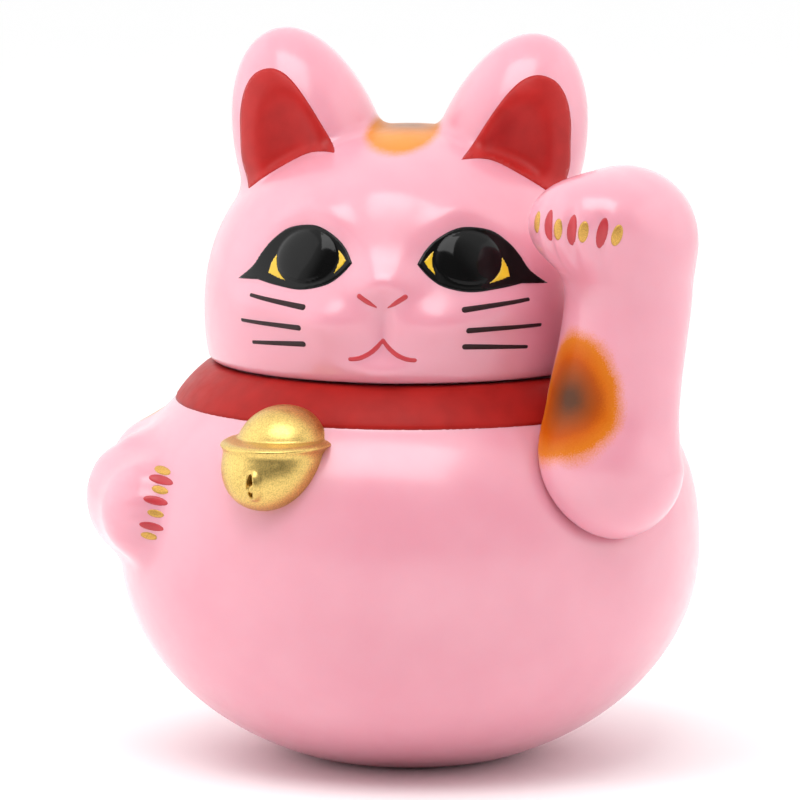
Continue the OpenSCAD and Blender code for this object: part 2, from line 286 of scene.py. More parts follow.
def body_field(p):
    """The body shell: hollow, with thickened openings for the neck and arm and one in its base."""
    outside = body_form(p)
    r, z = np.hypot(p[:, 0], p[:, 1]), p[:, 2]
    arm_r, arm_depth = shoulder_radius(p), shoulder_depth(p)
    inside = smooth_max(outside + WALL, BASE_WALL - z, 0.2)
    boss = np.minimum(
        np.maximum(r - NECK_BOSS_R, NECK_Z - BOSS_DEEP - z),
        np.maximum(arm_r - SHOULDER_BOSS_R, -BOSS_DEEP - arm_depth),
    )
    inside = np.maximum(inside, -boss)
    neck = np.maximum(r - NECK_HOLE_R, NECK_Z - HOLE_DEEP - z)
    base = np.maximum(r - CAP_R, z - CAP_DEEP)
    shoulder = np.maximum(arm_r - SHOULDER_HOLE_R, -HOLE_DEEP - arm_depth)
    holes = np.minimum(np.minimum(neck, base), shoulder)
    return np.maximum(np.maximum(outside, -inside), -holes)


def raised_form(p):
    """The raised arm's outside before the shoulder's flat is cut."""
    q = p - around(ARM_ANGLE, ARM_OUT, 0)
    arm = smooth_min(forearm(q), ball(q, ELBOW, ELBOW_R), ARM_BLEND)
    arm = smooth_min(arm, egg(q, FIST_AT, FIST_RADII), PAW_BLEND)
    arm = smooth_min(arm, egg(q, TOES_AT, TOES_RADII), TOES_BLEND)
    return arm - raised_toes(q)


def forearm(q):
    """The forearm's smooth barrel from the elbow to the wrist."""
    levels, sways, radii = np.array(FOREARM).T
    z = np.clip(q[:, 2], levels[0], levels[-1])
    sway = np.polyval(np.polyfit(levels, sways, 3), z)
    radius = np.polyval(np.polyfit(levels, radii, 3), z)
    middle = sway[:, None] * around(SWAY_AT, 1, 0) + z[:, None] * [0, 0, 1]
    return np.linalg.norm(q - middle, axis=1) - radius


def raised_toes(q):
    """Creases between the raised paw's toes, by angle round the toes."""
    angle = angle_of(q - TOES_MIDDLE)
    grooves = sum(hump(angle, q[:, 2], a, RAISED_CREASE_Z, 4.0, 2.8) for a in RAISED_CREASES)
    return -RAISED_CREASE_DEEP * grooves * front_only(q[:, 1], 1.5)


def arm_field(p):
    """The raised arm's shell: hollow, with a round hole for its plug."""
    form, depth = raised_form(p), shoulder_depth(p)
    outside = smooth_max(form, SEAM - depth, EDGE)
    inside = np.maximum(form + WALL, SEAM + WALL - depth)
    hole = np.maximum(shoulder_radius(p) - ARM_PLUG_R, depth - ARM_PLUG_DEEP)
    return np.maximum(np.maximum(outside, -inside), -hole)


def bell_local(p):
    """Points in the bell's own frame: its axis is Z and its slot faces -Y."""
    q = turned(p - around(BELL_ANGLE, BELL_OUT, BELL_Z), -BELL_ANGLE)
    a = radians(BELL_NOD)
    y, z = q[:, 1], q[:, 2]
    return np.stack([q[:, 0], y * cos(a) + z * sin(a), z * cos(a) - y * sin(a)], 1)


def bell_field(p):
    """A jingle bell: a bowl that hangs a little forward, a sharp flange round its top, a dome set
    back on the flange, and a lipped slot with a small ball in it, low on the bowl's front."""
    q = bell_local(p)
    hung = q.copy()
    hung[:, 1] -= BOWL_BACK + BOWL_HANG * q[:, 2]
    bowl = smooth_max(egg(hung, np.array([0, 0, BOWL_Z]), BOWL_RADII), q[:, 2] - FLANGE_Z, 0.3)
    dome = smooth_max(ball(q, DOME_AT, DOME_R), FLANGE_Z - 0.5 - q[:, 2], 0.3)
    flange = egg(q, np.array([0, FLANGE_BACK, FLANGE_Z]), FLANGE_RADII)
    form = smooth_min(smooth_min(bowl, flange, 0.8), dome, 0.15)
    form = smooth_min(form, egg(q, SLOT_AT + [0.1, 0.3, 0], LIPS_RADII), 0.25)
    form = smooth_max(form, -egg(q, SLOT_AT - [0.1, 0.4, 0], SLOT_RADII), 0.12)
    return smooth_min(form, ball(q, SLOT_AT + [0.0, 0.1, -0.3], PEA_R), 0.1)


# ---------------------------------------------------------------- meshing

CORNERS = [(i, j, k) for i in (0, 1) for j in (0, 1) for k in (0, 1)]


def gradient(field, p, h=0.02):
    parts = []
    for axis in range(3):
        step = np.zeros(3)
        step[axis] = h
        parts.append((field(p + step) - field(p - step)) / (2 * h))
    return np.stack(parts, 1)


def unit_normal(field, p):
    normal = gradient(field, p)
    return normal / np.linalg.norm(normal, axis=1)[:, None]


def settle(field, p, rounds=3, stride=0.3, least_slope=0.25):
    """Points moved onto the surface of a field."""
    for _ in range(rounds):
        g = gradient(field, p)
        move = np.clip(field(p), -stride, stride)[:, None]
        p = p - move * g / np.maximum((g * g).sum(1), least_slope)[:, None]
    return p


def at_corner(a, corner):
    """A grid's values at one corner of every cell."""
    return a[tuple(slice(o, n - 1 + o) for o, n in zip(corner, a.shape))]


def crossed_cells(value):
    """The cells that the zero surface crosses, and the middle of each one's crossings."""
    inside = value < 0
    count = sum(at_corner(inside, c).astype(int) for c in CORNERS)
    mixed = (count > 0) & (count < len(CORNERS))
    total, weight = np.zeros((mixed.sum(), 3)), np.zeros(mixed.sum())
    for a in CORNERS:
        for axis in [k for k in range(3) if not a[k]]:
            b = tuple(1 if k == axis else a[k] for k in range(3))
            va, vb = at_corner(value, a)[mixed], at_corner(value, b)[mixed]
            cross = (va < 0) != (vb < 0)
            t = np.where(cross, va / np.where(cross, va - vb, 1), 0)
            spot = np.array(a, float) + t[:, None] * (np.array(b) - np.array(a))
            total += spot * cross[:, None]
            weight += cross
    return np.argwhere(mixed), total / weight[:, None]


def crossed_edges(inside, number, axis):
    """A quad round each grid edge along this axis that the surface crosses, facing outwards."""
    u, v = (axis + 1) % 3, (axis + 2) % 3
    shape = inside.shape
    first = inside.take(range(0, shape[axis] - 1), axis)
    second = inside.take(range(1, shape[axis]), axis)
    edge = np.argwhere(first != second)
    for side in (u, v):
        edge = edge[(edge[:, side] > 0) & (edge[:, side] < shape[side] - 1)]
    ring = []
    for du, dv in ((-1, -1), (0, -1), (0, 0), (-1, 0)):
        cell = edge.copy()
        cell[:, u] += du
        cell[:, v] += dv
        ring.append(number[tuple(cell.T)])
    quad = np.stack(ring, 1)
    out = first[tuple(edge.T)]
    quad[~out] = quad[~out][:, ::-1]
    return quad


def surface_net(field, low, high, step):
    """Vertices and quads of a field's zero surface, one vertex for each cell that it crosses."""
    axes = [np.arange(low[k], high[k] + step, step) for k in range(3)]
    shape = tuple(len(a) for a in axes)
    grid = np.stack(np.meshgrid(*axes, indexing="ij"), -1).reshape(-1, 3)
    value = np.concatenate([field(part) for part in np.array_split(grid, 8)]).reshape(shape)
    cell, spot = crossed_cells(value)
    number = np.full([n - 1 for n in shape], -1)
    number[tuple(cell.T)] = np.arange(len(cell))
    points = (cell + spot) * step + np.array([a[0] for a in axes])
    return points, np.concatenate([crossed_edges(value < 0, number, axis) for axis in range(3)])


def link(obj):
    bpy.context.scene.collection.objects.link(obj)
    return obj


def make_mesh(name, points, faces, material):
    """A smooth-shaded object from points in millimetres and a list of faces."""
    mesh = bpy.data.meshes.new(name)
    mesh.from_pydata((np.asarray(points) * MM).tolist(), [], faces)
    mesh.validate()
    mesh.update()
    mesh.polygons.foreach_set("use_smooth", [True] * len(mesh.polygons))
    mesh.materials.append(material)
    return link(bpy.data.objects.new(name, mesh))


def make_form(name, field, node, step, material, margin=1.5):
    """A meshed field that stands for a CAD node, found inside that node's own box."""
    low, high = (np.array(c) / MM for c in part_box(node))
    points, quads = surface_net(field, low - margin, high + margin, step)
    return make_mesh(name, settle(field, points), quads.tolist(), material)


# ---------------------------------------------------------------- paint and other thin pieces

SINK, PAINT = 0.15, 0.06
FACE_ARC_R, TOES_ARC_R = 22, 6.5
# How far out the rays that place the paint start
OFF_HEAD, OFF_BODY, OFF_PAW = 30, 42, 20
TOES_FACE = 33.0
UP = np.array([0, 0, 1])


def smooth_loop(points, spacing, corners=()):
    """A closed outline through given points, curved except at the numbered corners."""
    p = np.array(points, float)
    n = len(p)
    out = []
    for i in range(n):
        a, b = p[i], p[(i + 1) % n]
        before = a if i in corners else p[i - 1]
        after = b if (i + 1) % n in corners else p[(i + 2) % n]
        parts = max(2, int(np.linalg.norm(b - a) / spacing))
        for t in np.arange(parts) / parts:
            out.append(
                a * (2 * t**3 - 3 * t**2 + 1)
                + b * (3 * t**2 - 2 * t**3)
                + (b - before) / 2 * (t**3 - 2 * t**2 + t)
                + (after - a) / 2 * (t**3 - t**2)
            )
    return np.array(out)


def round_end(centre, forward, sideways, r):
    """Points round a half circle, from one side of a stroke's end to the other."""
    turns = np.linspace(0, np.pi, 7)[1:-1]
    return [centre + r * (sin(a) * forward + cos(a) * sideways) for a in turns]


def stroke(centres, widths, spacing=0.2):
    """The outline of a brush stroke along a curve, with round ends."""
    p, w = np.array(centres, float), np.array(widths, float)
    t = np.linspace(0, 1, len(p))
    length = np.linalg.norm(np.diff(p, axis=0), axis=1).sum()
    fine = np.linspace(0, 1, max(12, int(length / spacing)))
    if len(p) == 2:
        line = np.stack([np.interp(fine, t, p[:, k]) for k in range(2)], 1)
    else:
        line = np.stack([fine**2, fine, fine**0], 1) @ np.polyfit(t, p, 2)
    half = np.interp(fine, t, w) / 2
    along = np.gradient(line, axis=0)
    along /= np.linalg.norm(along, axis=1)[:, None]
    across = np.stack([-along[:, 1], along[:, 0]], 1)
    left, right = line + across * half[:, None], line - across * half[:, None]
    end = round_end(line[-1], along[-1], across[-1], half[-1])
    start = round_end(line[0], -along[0], -across[0], half[0])
    return np.array([*left, *end, *right[::-1], *start])


def edge_distance(p, loop):
    """Distance from each point to a closed outline."""
    best = np.full(len(p), np.inf)
    for start, along in zip(loop, np.roll(loop, -1, 0) - loop):
        t = np.clip((p - start) @ along / max(along @ along, 1e-12), 0, 1)
        best = np.minimum(best, np.linalg.norm(p - start - t[:, None] * along, axis=1))
    return best


def drop_on(field, start, direction, reach=30.0, steps=120, halvings=12):
    """Where rays from outside first meet a field's surface."""
    near = np.zeros(len(start))
    found = np.zeros(len(start), bool)
    for t in np.linspace(0, reach, steps):
        hit = field(start + direction * t) < 0
        near = np.where(found | hit, near, t)
        found |= hit
    far = near + reach / (steps - 1)
    for _ in range(halvings):
        middle = (near + far) / 2
        hit = field(start + direction * middle[:, None]) < 0
        far = np.where(hit, middle, far)
        near = np.where(hit, near, middle)
    return start + direction * near[:, None]


def fill_outline(loop, spacing):
    """Points and triangles that fill a closed outline, with the outline's own points round it."""
    low, high = loop.min(0), loop.max(0)
    axes = [np.arange(low[k], high[k], spacing) for k in (0, 1)]
    grid = np.stack(np.meshgrid(*axes), -1).reshape(-1, 2)
    grid = grid[edge_distance(grid, loop) > spacing * 0.35]
    coords = [Vector(c) for c in [*loop, *grid]]
    edges = [(i, (i + 1) % len(loop)) for i in range(len(loop))]
    flat, _, tris, *_ = delaunay_2d_cdt(coords, edges, [], 1, 1e-5)
    tris = np.array([tuple(t) for t in tris])
    used, numbers = np.unique(tris, return_inverse=True)
    return np.array([tuple(c) for c in flat])[used], numbers.reshape(tris.shape)


def close_faces(tris, count):
    """Faces of a closed piece: triangles on top, the same turned over on its back, and walls
    between. The back's points follow the top's count of points in the same order."""
    rows = tris.tolist()
    directed = dict.fromkeys(edge for t in rows for edge in zip(t, t[1:] + t[:1]))
    walls = [(b, a, a + count, b + count) for a, b in directed if (b, a) not in directed]
    return [*rows, *(tris[:, ::-1] + count).tolist(), *walls]


def lay_on(name, loop, field, place, material, height, rim=0.12, spacing=0.3, thick=None):
    """A closed piece that lies on a surface: its outline in the surface's own coordinates and
    its top height(u, v) above the surface with a rounded rim. Its back is SINK under the surface,
    or thick below its top where it lies on another piece."""
    uv, tris = fill_outline(loop, spacing)
    start, direction = place(uv)
    skin = settle(field, drop_on(field, start, direction), 2)
    normal = unit_normal(field, skin)
    inward = np.clip(edge_distance(uv, loop) / rim, 0, 1)
    round_rim = np.sqrt(np.maximum(1 - (1 - inward) ** 2, 0))
    top = skin + normal * (height(uv) * round_rim)[:, None]
    back = skin - normal * SINK if thick is None else top - normal * thick
    facing = np.cross(top[tris[:, 1]] - top[tris[:, 0]], top[tris[:, 2]] - top[tris[:, 0]])
    if (facing * normal[tris[:, 0]]).sum() < 0:
        tris = tris[:, ::-1]
    return make_mesh(name, np.concatenate([top, back]), close_faces(tris, len(uv)), material)


def film(thickness):
    return lambda uv: np.full(len(uv), thickness)


def outwards(angle):
    """Level directions at these angles, in radians, from the front."""
    return np.stack([np.sin(angle), -np.cos(angle), np.zeros(len(angle))], 1)


def on_face(uv):
    """Face coordinates: u is the arc in mm round the head from the nose, v the level."""
    out = outwards(uv[:, 0] / FACE_ARC_R + radians(HEAD_TURN))
    return out * OFF_HEAD + uv[:, 1:] * UP, -out


def on_front(uv):
    """Head coordinates seen from the front: u across towards the cat's left, v the level."""
    across, out = around(HEAD_TURN + 90, 1, 0), around(HEAD_TURN, 1, 0)
    return uv[:, :1] * across + out * OFF_HEAD + uv[:, 1:] * UP, np.tile(-out, (len(uv), 1))


def on_lowered_toes(uv):
    """Lowered paw coordinates, looking at its toes: u across to the cat's left, v the level."""
    across, out = around(TOES_FACE + 90, 1, 0), around(TOES_FACE, 1, 0)
    return uv[:, :1] * across + out * OFF_BODY + uv[:, 1:] * UP, np.tile(-out, (len(uv), 1))


def on_toes(uv):
    """Raised paw coordinates: u is the arc in mm round a ball of toes, v the level."""
    out = outwards(uv[:, 0] / TOES_ARC_R)
    middle = around(ARM_ANGLE, ARM_OUT, 0) + TOES_MIDDLE
    return middle + out * OFF_PAW + uv[:, 1:] * UP, -out


# ---------------------------------------------------------------- materials


class Nodes:
    """Shorthand for building one material's node tree."""

    def __init__(self, name):
        self.material = bpy.data.materials.new(name)
        self.material.use_nodes = True
        self.tree = self.material.node_tree
        self.shader = self.tree.nodes["Principled BSDF"]
        self.place = self.add("ShaderNodeTexCoord").outputs["Object"]

    def add(self, kind, inputs=None, **settings):
        node = self.tree.nodes.new(kind)
        for key, value in settings.items():
            setattr(node, key, value)
        for key, value in (inputs or {}).items():
            self.put(node.inputs[key], value)
        return node

    def put(self, socket, value):
        if isinstance(value, bpy.types.NodeSocket):
            self.tree.links.new(value, socket)
        else:
            socket.default_value = value

    def set(self, **values):
        for key, value in values.items():
            self.put(self.shader.inputs[key.replace("_", " ")], value)

    def math(self, operation, a, b=0.0):
        return self.add("ShaderNodeMath", {0: a, 1: b}, operation=operation).outputs[0]

    def spread(self, value, low, high, start=0.0, end=1.0):
        """A value from start to end mapped to one from low to high."""
        inputs = {"Value": value, "From Min": start, "From Max": end, "To Min": low, "To Max": high}
        return self.add("ShaderNodeMapRange", inputs).outputs["Result"]

    def vector(self, operation, a, b=(0, 0, 0), result="Vector"):
        node = self.add("ShaderNodeVectorMath", {0: a, 1: b}, operation=operation)
        return node.outputs[result]

    def noise(self, size_mm, detail=3.0):
        """Noise from 0 to 1 whose features are about size_mm across."""
        inputs = {"Vector": self.place, "Scale": 1 / (size_mm * MM), "Detail": detail}
        return self.add("ShaderNodeTexNoise", inputs).outputs["Fac"]

    def wobble(self, size_mm, detail, amount):
        """Noise about zero, for an uneven edge."""
        middle = self.math("SUBTRACT", self.noise(size_mm, detail), 0.5)
        return self.math("MULTIPLY", middle, amount)

    def ramp(self, value, stops):
        node = self.add("ShaderNodeValToRGB", {"Fac": value})
        items = node.color_ramp.elements
        while len(items) < len(stops):
            items.new(0.5)
        for item, (position, colour) in zip(items, stops):
            item.position = position
            item.color = (*colour, 1)
        return node.outputs["Color"]

    def mix(self, factor, a, b):
        node = self.add("ShaderNodeMix", data_type="RGBA")
        self.put(node.inputs["Factor"], factor)
        for key, value in (("A", a), ("B", b)):
            socket = [s for s in node.inputs if s.name == key and s.type == "RGBA"][0]
            self.put(socket, value if isinstance(value, bpy.types.NodeSocket) else (*value, 1))
        return [s for s in node.outputs if s.type == "RGBA"][0]

    def bump(self, height, depth_mm, strength=1.0):
        inputs = {"Height": height, "Distance": depth_mm * MM, "Strength": strength}
        self.put(self.shader.inputs["Normal"], self.add("ShaderNodeBump", inputs).outputs["Normal"])


PINK = (0.80, 0.345, 0.425)
DEEP_PINK = (0.77, 0.305, 0.385)
ORANGE = (0.52, 0.085, 0.001)
AMBER = (0.72, 0.23, 0.02)
LIGHT_AMBER = (0.78, 0.27, 0.035)
GREY = (0.11, 0.045, 0.022)
RED = (0.48, 0.020, 0.018)
# The collar's red is the lining's red paint darkened all round: painted shade from the head and raised
# arm over it
SHADED_COLLAR_RED = (0.40, 0.014, 0.011)
MARK_RED = (0.56, 0.036, 0.048)
YELLOW = (0.83, 0.52, 0.02)
GOLD = (0.70, 0.49, 0.15)
MARK_GOLD = (0.62, 0.34, 0.07)
DARK = (0.028, 0.011, 0.012)
BLACK = (0.004, 0.004, 0.004)
WHITE = (0.78, 0.77, 0.74)
DARK_STEEL, STEEL = (0.42, 0.42, 0.43), (0.55, 0.55, 0.56)
# Turns of the lathe's ring pattern for each metre of radius, in radians
LATHE_RINGS = 20000.0


def sprayed_patch(n, base, turn, centre, radii, colours, cores):
    """An airbrushed orange patch with grey sprayed over its middle, on top of a base colour, and
    where the patch is. Its centre and reach are in the frame turned about the vertical axis."""
    unturned = {"Vector": n.place, "Angle": radians(-turn)}
    place = n.add("ShaderNodeVectorRotate", unturned, rotation_type="Z_AXIS").outputs[0]

    def reach(middle, size):
        shift = n.vector("SUBTRACT", place, tuple(np.array(middle) * MM))
        return n.vector("LENGTH", n.vector("DIVIDE", shift, tuple(np.array(size) * MM)), result="Value")

    loose = n.math("ADD", n.wobble(5.0, 3.0, 0.2), n.wobble(0.15, 1.0, 0.14))
    edge = n.math("ADD", reach(centre, radii), loose)
    orange = n.ramp(edge, [(0.0, (1, 1, 1)), (0.82, (1, 1, 1)), (1.08, (0, 0, 0))])
    paint = n.ramp(edge, [(0.0, colours[0]), (0.55, colours[0]), (0.95, colours[1])])
    colour = n.mix(orange, base, paint)
    for middle, size, strength in cores:
        core = n.math("ADD", reach(middle, size), loose)
        dark = n.ramp(core, [(0.0, (strength,) * 3), (0.2, (strength,) * 3), (1.0, (0, 0, 0))])
        colour = n.mix(dark, colour, GREY)
    return colour, orange


def pink_vinyl(name, patches=()):
    """Satin moulded vinyl, with any airbrushed patches that its piece carries."""
    n = Nodes(name)
    colour = n.ramp(n.noise(9.0, 2.0), [(0.3, DEEP_PINK), (0.7, PINK)])
    shine = 0.7
    for patch in patches:
        colour, painted = sprayed_patch(n, colour, *patch)
        dulled = n.math("SUBTRACT", 1.0, n.math("MULTIPLY", painted, 0.85))
        shine = n.math("MULTIPLY", shine, dulled)
    n.set(Base_Color=colour, Roughness=n.spread(n.noise(1.5, 4.0), 0.30, 0.37, 0.3, 0.7))
    n.set(Subsurface_Weight=0.3, Subsurface_Radius=(1.0, 0.4, 0.35), Subsurface_Scale=0.002)
    n.set(Coat_Weight=shine, Coat_Roughness=0.17)
    n.set(Specular_IOR_Level=n.math("MULTIPLY", shine, 0.75))
    n.bump(n.noise(0.45, 2.0), 0.004, 0.5)
    return n.material


def gloss_paint(name, colour, roughness, coat=0.0, specular=0.5):
    """Brushed-on gloss paint, slightly uneven in tone and thickness."""
    n = Nodes(name)
    darker = tuple(c * 0.82 for c in colour)
    n.set(Base_Color=n.ramp(n.noise(2.5), [(0.3, darker), (0.7, colour)]))
    n.set(Roughness=n.spread(n.noise(1.2), roughness * 0.8, roughness * 1.3))
    n.set(Specular_IOR_Level=specular)
    n.set(Coat_Weight=coat, Coat_Roughness=0.06)
    n.bump(n.noise(1.6, 2.0), 0.012, 0.6)
    return n.material


def gold_paint(name, colour=GOLD, flake_mm=0.16, metallic=0.92):
    """Metallic gold paint with a fine grainy flake."""
    n = Nodes(name)
    grain = n.noise(flake_mm, 4.0)
    dark = tuple(c * 0.7 for c in colour)
    bright = tuple(min(1.0, c * 1.25) for c in colour)
    n.set(Base_Color=n.ramp(grain, [(0.30, dark), (0.52, colour), (0.75, bright)]))
    n.set(Metallic=metallic, Roughness=n.spread(n.noise(0.5), 0.26, 0.46))
    n.bump(grain, 0.02, 0.5)
    return n.material


def moulded_plastic(name, colour, roughness):
    """Plain moulded plastic with a faint grain."""
    n = Nodes(name)
    darker = tuple(c * 0.94 for c in colour)
    n.set(Base_Color=n.ramp(n.noise(3.0), [(0.3, darker), (0.7, colour)]))
    n.set(Roughness=roughness)
    n.bump(n.noise(0.3, 2.0), 0.006, 0.4)
    return n.material


def turned_steel(name):
    """Steel with fine rings from the lathe."""
    n = Nodes(name)
    split = n.add("ShaderNodeSeparateXYZ", {"Vector": n.place})
    x_square, y_square = (n.math("POWER", split.outputs[k], 2.0) for k in (0, 1))
    radius = n.math("SQRT", n.math("ADD", x_square, y_square))
    rings = n.math("SINE", n.math("MULTIPLY", radius, LATHE_RINGS))
    n.set(Base_Color=n.ramp(n.noise(2.0), [(0.3, DARK_STEEL), (0.7, STEEL)]))
    n.set(Metallic=1.0, Roughness=0.35)
    n.bump(rings, 0.01, 0.3)
    return n.material


# ---------------------------------------------------------------- the vinyl pieces

# Airbrushed patches: the frame's turn, the middle, the reach each way, the paint's middle and
# edge colours, and the grey cores as (middle, reach, strength)
CROWN, CROWN_CORE = (-0.2, -2, 67.5), (0, -0.5, 69)
ARM_SPOT = around(ARM_ANGLE, ARM_OUT, 42.0) + around(-16, 7.2, 0)
SHOULDER_SPOT, SHOULDER_CORE = around(-86, 27.0, 36.5), around(-92, 27, 36.5)
BACK_SPOT, BACK_CORE = around(152, 27.5, 31.5), around(152, 28.5, 31.5)
PALE_PAINT, DEEP_PAINT = (LIGHT_AMBER, AMBER), (ORANGE, AMBER)
HEAD_PATCH = (
    HEAD_TURN, CROWN, (4.7, 11.5, 4.5), PALE_PAINT, [(CROWN_CORE, (5, 7, 2.8), 0.75)]
)
ARM_PATCH = (
    0, ARM_SPOT, (6.2, 5.1, 8.7), DEEP_PAINT, [(ARM_SPOT + [0.1, 0, 0.5], (4.3, 4.0, 4.6), 1.0)]
)
SHOULDER_PATCH = (
    0, SHOULDER_SPOT, (11.5, 11.5, 6.0), DEEP_PAINT, [(SHOULDER_CORE, (5.5, 5.5, 3.5), 0.8)]
)
BACK_PATCH = (
    0, BACK_SPOT, (9.5, 9.5, 8.0), DEEP_PAINT, [(BACK_CORE, (4.5, 4.5, 4), 0.8)]
)


BODY_STEP, HEAD_STEP, ARM_STEP, BELL_STEP = 0.5, 0.36, 0.36, 0.17


def build_body():
    material = pink_vinyl("pink_vinyl_body", [SHOULDER_PATCH, BACK_PATCH])
    body = make_form("body_skin", body_field, "body_shell", BODY_STEP, material)
    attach(body, "body")
    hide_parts("body_shell")


def build_head():
    material = pink_vinyl("pink_vinyl_head", [HEAD_PATCH])
    head = make_form("head_skin", head_field, "head_shell", HEAD_STEP, material)
    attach(head, "head")
    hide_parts("head_shell")


def build_arm():
    material = pink_vinyl("pink_vinyl_arm", [ARM_PATCH])
    arm = make_form("raised_arm_skin", arm_field, "raised_arm", ARM_STEP, material)
    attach(arm, "arm")
    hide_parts("raised_arm")


def build_bell():
    gold = gold_paint("gold_bell")
    bell = make_form("jingle_bell", bell_field, "bell", BELL_STEP, gold, margin=1.0)
    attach(bell, "body")
    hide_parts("bell")


def mirrored(points, side):
    """An outline drawn for the cat's left, for either side."""
    p = np.array(points, float)
    return p * [side, 1] if side > 0 else (p * [side, 1])[::-1]


SIDES = {"left": 1, "right": -1}

# Outlines on the face, for the cat's left half: u from the nose, v the level
EYE = [
    (3.6, 56.3), (4.6, 57.7), (5.9, 58.8), (7.8, 59.7), (9.8, 60.0), (12.7, 59.55), (14.6, 58.3),
    (15.7, 56.95), (16.7, 55.25), (18.7, 53.8), (15.3, 54.0), (12.5, 53.6), (9.2, 53.35),
    (6.4, 53.95), (4.8, 55.0),
]
EYE_CORNERS = (0, 9, 10)
EYE_MIDDLE, EYE_BALL = (9.55, 56.75), (3.95, 2.85)
# The lid's thickness, the ball's rise over it, and where the ball's curve meets the lid
LID, BALL_RISE, BALL_CROWN, BALL_FOOT = 0.14, 1.1, 1.15, 0.15
CORNER_RISE, CORNER_THICK = 0.07, 0.2
EYE_OUTER = [(13.5, 56.85), (13.95, 55.8), (14.0, 54.7), (12.6, 54.3), (11.15, 54.0), (12.75, 55.2)]
EYE_INNER = [(5.65, 57.75), (4.9, 57.15), (4.3, 56.5), (4.85, 55.75), (5.7, 54.95), (5.35, 56.4)]
NOSE = [(2.35, 53.05), (1.4, 52.4), (0.5, 51.8)]
NOSE_WIDTHS, WHISKER_WIDTHS, MOUTH_WIDTH = (0.55, 0.5, 0.12), (0.6, 0.38), 0.5
MOUTH = [(0.0, 48.35), (0.75, 47.5), (1.5, 46.85), (2.4, 46.45), (3.3, 46.35)]
WHISKERS = [
    [(8.3, 51.65), (15.65, 52.35)],
    [(8.7, 49.45), (17.25, 49.5)],
    [(8.4, 47.7), (15.65, 47.25)],
]
# The ear lining, seen from the front: across from the middle of the head, and the level
LINING = [
    (14.7, 75.6), (16.4, 74.9), (17.5, 73.2), (18.0, 70.8), (18.0, 68.2), (17.85, 65.4),
    (16.9, 62.5), (14.7, 64.1), (12.4, 65.5), (10.4, 66.5), (8.8, 66.9), (6.9, 66.9),
    (8.2, 69.0), (10.0, 71.8), (11.6, 73.9), (13.1, 75.2),
]
LINING_CORNERS = (6, 11)


def eye_height(uv):
    """An eye is a flat painted lid with a round glossy ball in it."""
    across = (np.abs(uv[:, 0]) - EYE_MIDDLE[0]) / EYE_BALL[0]
    up = (uv[:, 1] - EYE_MIDDLE[1]) / EYE_BALL[1]
    curve = np.sqrt(np.maximum(BALL_CROWN - across**2 - up**2, BALL_FOOT))
    return LID + BALL_RISE * (curve - np.sqrt(BALL_FOOT))


def corner_height(uv):
    return eye_height(uv) + CORNER_RISE


def mirrored_corners(corners, count, side):
    """The numbers of an outline's sharp corners, for either side."""
    return corners if side > 0 else tuple(count - 1 - c for c in corners)


def build_eyes(black, yellow):
    for word, side in SIDES.items():
        loop = smooth_loop(mirrored(EYE, side), 0.2, mirrored_corners(EYE_CORNERS, len(EYE), side))
        name = word + "_eye_dome"
        eye = lay_on(name, loop, head_field, on_face, black, eye_height, rim=0.12, spacing=0.18)
        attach(eye, "head")
        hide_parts(word + "_eye")
        for part, outline in (("outer", EYE_OUTER), ("inner", EYE_INNER)):
            corners = tuple(range(0 if side > 0 else 1, len(outline), 2))
            loop = smooth_loop(mirrored(outline, side), 0.12, corners)
            name = f"{word}_eye_{part}_corner"
            paint = lay_on(
                name, loop, head_field, on_face, yellow, corner_height,
                rim=0.06, spacing=0.12, thick=CORNER_THICK,
            )
            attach(paint, "head")


def paint_on_face(name, loop, material):
    film_of_paint = film(PAINT)
    piece = lay_on(name, loop, head_field, on_face, material, film_of_paint, rim=0.15, spacing=0.15)
    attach(piece, "head")


def build_nose_and_whiskers(word, side, mark_red, dark):
    line = stroke(mirrored(NOSE, side)[::side], NOSE_WIDTHS, 0.12)
    paint_on_face(word + "_nose_stroke", line, mark_red)
    for number, ends in enumerate(WHISKERS, 1):
        line = stroke(np.array(ends) * [side, 1], WHISKER_WIDTHS, 0.12)
        paint_on_face(f"{word}_whisker_{number}", line, dark)


def build_ear_lining(word, side, red):
    corners = mirrored_corners(LINING_CORNERS, len(LINING), side)
    loop = smooth_loop(mirrored(LINING, side), 0.25, corners) - [0, max(side, 0) * LEFT_EAR_DROP]
    name = word + "_ear_lining"
    lining = lay_on(name, loop, head_field, on_front, red, film(PAINT), rim=0.15, spacing=0.35)
    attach(lining, "head")


def mouth_outline(half, width):
    """A bow of two strokes that meet in a peak under the nose, from the half on the cat's left."""
    one = stroke(half, (width * 0.8, width, width, width, width * 0.9), 0.15)
    top = one[one[:, 0] >= 0]
    at_peak = top[:, 1] > half[0, 1] - 0.05
    start = np.argmin(np.where(at_peak, top[:, 0], np.inf))
    top = np.roll(top, -start, 0)
    if top[1, 1] > top[-1, 1] and top[1, 0] > top[-1, 0]:
        top = top[::-1]
    return np.concatenate([top, (top * [-1, 1])[::-1]])


def oval(u, v, wide, tall, tilt, points=20):
    """The outline of an oval of this width and height, tilted in degrees."""
    a = np.linspace(0, 2 * np.pi, points, endpoint=False)
    x, y, t = wide / 2 * np.cos(a), tall / 2 * np.sin(a), radians(tilt)
    return np.stack([u + x * cos(t) - y * sin(t), v + x * sin(t) + y * cos(t)], 1)


